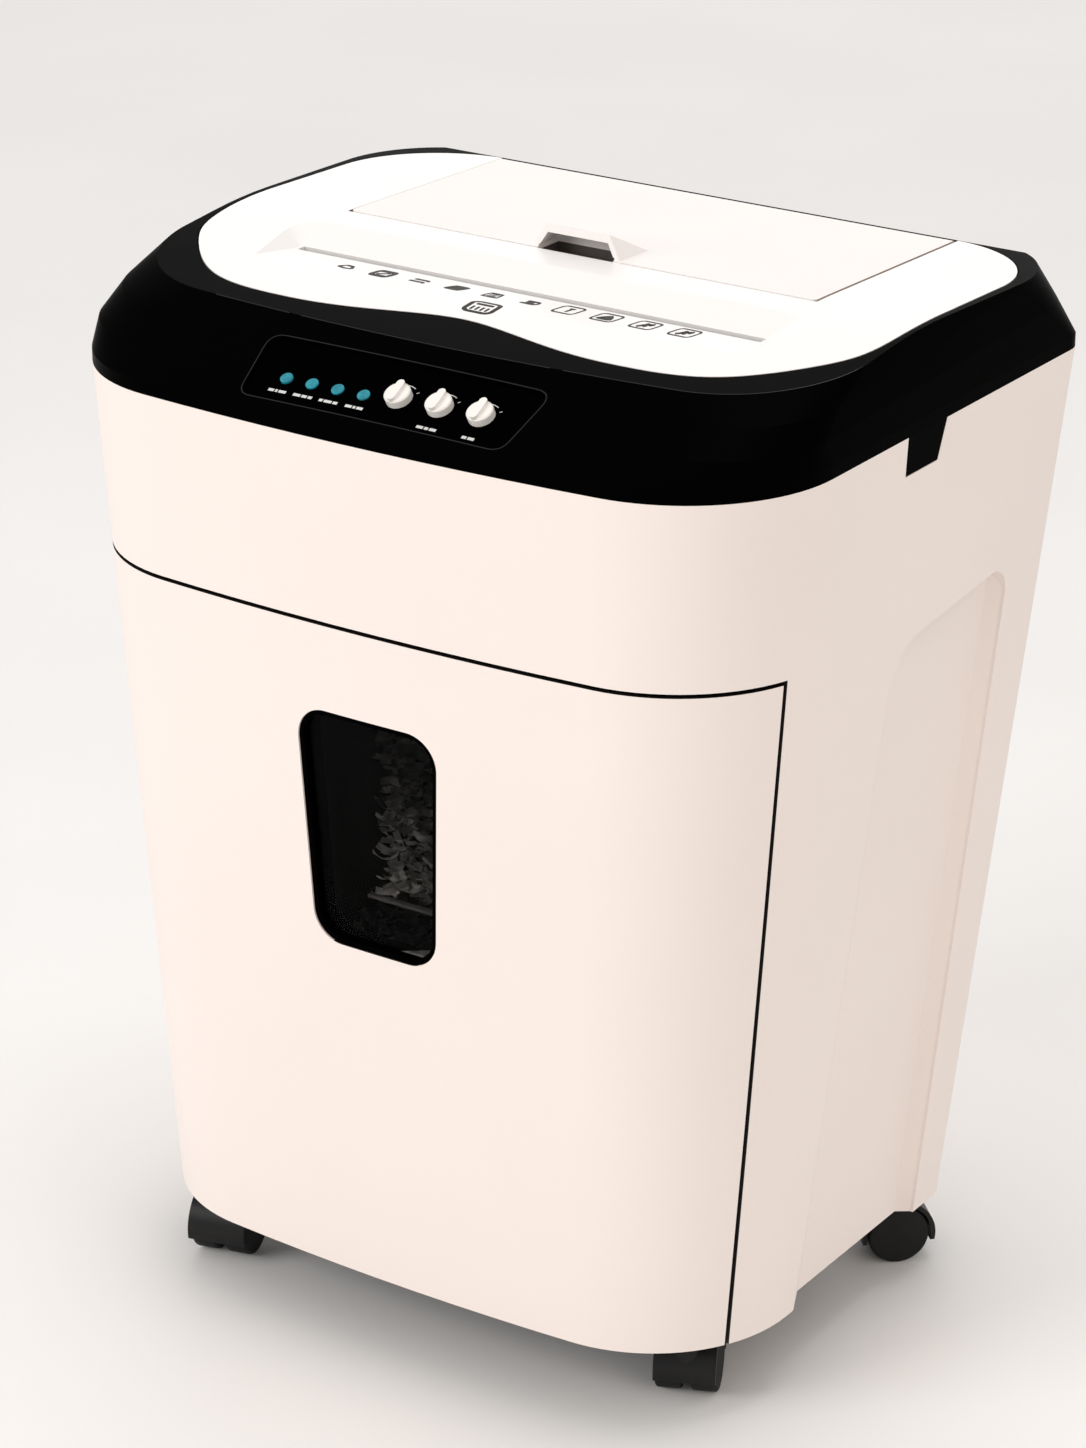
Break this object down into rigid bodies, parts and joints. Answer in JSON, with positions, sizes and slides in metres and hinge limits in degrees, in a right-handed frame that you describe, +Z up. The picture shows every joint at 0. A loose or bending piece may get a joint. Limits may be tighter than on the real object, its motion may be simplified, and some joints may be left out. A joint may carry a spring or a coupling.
{
  "type": "paper shredder",
  "caption": "Auto-feed paper shredder on casters with a pull-out bin, hinged lid over the paper tray, manual slot and control panel.",
  "frame": {"origin": "On the floor under the caster wheels, midway between the cabinet's sides; y is zero at half the body's depth at the head joint.", "axes": "+X to the object's left as it faces the user, that is the viewer's right from the front; +Y to the rear wall; +Z up."},
  "size_m": [0.3478, 0.2838, 0.473],
  "materials": {
    "white_shell": "satin",
    "white_cover": "satin",
    "black_gloss": "gloss",
    "black_plastic": "matte",
    "grey_plastic": "matte",
    "panel_black": "gloss",
    "smoked_window": "gloss",
    "led_teal": "gloss",
    "knob_white": "satin",
    "board_green": "matte",
    "steel": "ground",
    "dark_steel": "satin",
    "zinc": "zinc plated",
    "bronze": "sintered",
    "gear_plastic": "matte",
    "rubber": "matte",
    "magnet": "satin"
  },
  "bodies": {
    "cabinet": {"cabinet_shell": "white_shell", "cabinet_base": "black_plastic", "caster_sockets": "zinc", "chassis_deck": "black_plastic", "chassis_screws": "zinc", "head_rim": "black_gloss", "top_cover": "white_cover", "lid_hinge_pins": "steel", "control_panel": "panel_black", "control_board": "board_green", "board_screws": "zinc", "led_lenses": "led_teal", "knob_switches": "black_plastic", "stripper_comb_front": "black_plastic", "stripper_comb_rear": "black_plastic", "frame_plate_left": "zinc", "frame_plate_right": "zinc", "cutter_bushes": "bronze", "tie_rods": "steel", "throat_guide": "black_plastic", "paper_sensor": "grey_plastic", "gear_pins": "steel", "motor": "dark_steel", "gear_case": "grey_plastic", "paper_tray": "black_plastic", "power_inlet": "black_plastic", "switch_body": "black_plastic", "interlock_sensor": "grey_plastic"},
    "bin": {"bin_front": "white_shell", "bin_tub": "black_plastic", "window_bezel": "black_plastic", "window_pane": "smoked_window", "bin_screws": "zinc", "bin_magnet": "magnet"},
    "lid": {"lid": "white_cover", "lid_grip": "grey_plastic"},
    "knob_1": {"knob_1": "knob_white"},
    "knob_2": {"knob_2": "knob_white"},
    "knob_3": {"knob_3": "knob_white"},
    "cutter_rear": {"cutter_rear": "steel", "sync_gear_rear": "dark_steel", "final_gear": "dark_steel"},
    "cutter_front": {"cutter_front": "steel", "sync_gear_front": "dark_steel"},
    "reduction_gear": {"intermediate_gear": "gear_plastic"},
    "motor_rotor": {"motor_shaft": "steel"},
    "idler": {"idler_gear": "gear_plastic"},
    "feed_roller": {"feed_shaft": "steel", "feed_rollers": "rubber", "feed_gear": "gear_plastic"},
    "power_rocker": {"switch_rocker": "black_gloss"},
    "caster_front_left": {"caster_hood_front_left": "black_plastic"},
    "wheels_front_left": {"caster_wheels_front_left": "rubber"},
    "caster_front_right": {"caster_hood_front_right": "black_plastic"},
    "wheels_front_right": {"caster_wheels_front_right": "rubber"},
    "caster_rear_left": {"caster_hood_rear_left": "black_plastic"},
    "wheels_rear_left": {"caster_wheels_rear_left": "rubber"},
    "caster_rear_right": {"caster_hood_rear_right": "black_plastic"},
    "wheels_rear_right": {"caster_wheels_rear_right": "rubber"}
  },
  "joints": [
    {"name": "bin_slide", "type": "slide", "parent": "cabinet", "child": "bin", "axis": [0, -1, 0], "range_m": [0, 0.24]},
    {"name": "lid_hinge", "type": "hinge", "parent": "cabinet", "child": "lid", "pos_m": [0, 0.1262, 0.4575], "axis": [-1, 0, 0], "range_deg": [0, 80]},
    {"name": "knob_1_turn", "type": "hinge", "parent": "cabinet", "child": "knob_1", "pos_m": [0.0068, -0.12176, 0.4386], "axis": [0, -0.4826, 0.8759], "range_deg": [-120, 120]},
    {"name": "knob_2_turn", "type": "hinge", "parent": "cabinet", "child": "knob_2", "pos_m": [0.0266, -0.12176, 0.4386], "axis": [0, -0.4826, 0.8759], "range_deg": [-120, 120]},
    {"name": "knob_3_turn", "type": "hinge", "parent": "cabinet", "child": "knob_3", "pos_m": [0.0464, -0.12176, 0.4386], "axis": [0, -0.4826, 0.8759], "range_deg": [-120, 120]},
    {"name": "rear_cutter_spin", "type": "hinge", "parent": "cabinet", "child": "cutter_rear", "pos_m": [0, 0.015, 0.4], "axis": [1, 0, 0], "continuous": true},
    {"name": "front_cutter_spin", "type": "hinge", "parent": "cabinet", "child": "cutter_front", "pos_m": [0, -0.015, 0.4], "axis": [1, 0, 0], "continuous": true},
    {"name": "reduction_spin", "type": "hinge", "parent": "cabinet", "child": "reduction_gear", "pos_m": [0, 0.05784, 0.40755], "axis": [1, 0, 0], "continuous": true},
    {"name": "motor_spin", "type": "hinge", "parent": "cabinet", "child": "motor_rotor", "pos_m": [0, 0.09455, 0.39044], "axis": [1, 0, 0], "continuous": true},
    {"name": "idler_spin", "type": "hinge", "parent": "cabinet", "child": "idler", "pos_m": [0, 0.02772, 0.42035], "axis": [1, 0, 0], "continuous": true},
    {"name": "feed_spin", "type": "hinge", "parent": "cabinet", "child": "feed_roller", "pos_m": [0, 0.04184, 0.43151], "axis": [1, 0, 0], "continuous": true},
    {"name": "power_rock", "type": "hinge", "parent": "cabinet", "child": "power_rocker", "pos_m": [0.134, 0.13407, 0.38843], "axis": [0, 0.1416, 0.9899], "range_deg": [-8, 8]},
    {"name": "caster_front_left_swivel", "type": "hinge", "parent": "cabinet", "child": "caster_front_left", "pos_m": [-0.121, -0.08, 0.03], "axis": [0, 0, 1], "continuous": true},
    {"name": "wheels_front_left_roll", "type": "hinge", "parent": "caster_front_left", "child": "wheels_front_left", "pos_m": [-0.11867, -0.08869, 0.014], "axis": [-0.9659, -0.2588, 0], "continuous": true},
    {"name": "caster_front_right_swivel", "type": "hinge", "parent": "cabinet", "child": "caster_front_right", "pos_m": [0.121, -0.08, 0.03], "axis": [0, 0, 1], "continuous": true},
    {"name": "wheels_front_right_roll", "type": "hinge", "parent": "caster_front_right", "child": "wheels_front_right", "pos_m": [0.11734, -0.07178, 0.014], "axis": [0.9135, 0.4067, 0], "continuous": true},
    {"name": "caster_rear_left_swivel", "type": "hinge", "parent": "cabinet", "child": "caster_rear_left", "pos_m": [-0.124, 0.072, 0.03], "axis": [0, 0, 1], "continuous": true},
    {"name": "wheels_rear_left_roll", "type": "hinge", "parent": "caster_rear_left", "child": "wheels_rear_left", "pos_m": [-0.124, 0.081, 0.014], "axis": [1, 0, 0], "continuous": true},
    {"name": "caster_rear_right_swivel", "type": "hinge", "parent": "cabinet", "child": "caster_rear_right", "pos_m": [0.124, 0.072, 0.03], "axis": [0, 0, 1], "continuous": true},
    {"name": "wheels_rear_right_roll", "type": "hinge", "parent": "caster_rear_right", "child": "wheels_rear_right", "pos_m": [0.13036, 0.07836, 0.014], "axis": [0.7071, -0.7071, 0], "continuous": true}
  ],
  "couplings": [
    {"joint": "front_cutter_spin", "follows": "rear_cutter_spin", "ratio": -1},
    {"joint": "reduction_spin", "follows": "rear_cutter_spin", "ratio": -3.1429},
    {"joint": "motor_spin", "follows": "rear_cutter_spin", "ratio": 11},
    {"joint": "idler_spin", "follows": "rear_cutter_spin", "ratio": -1.6667},
    {"joint": "feed_spin", "follows": "rear_cutter_spin", "ratio": 1.6667}
  ]
}
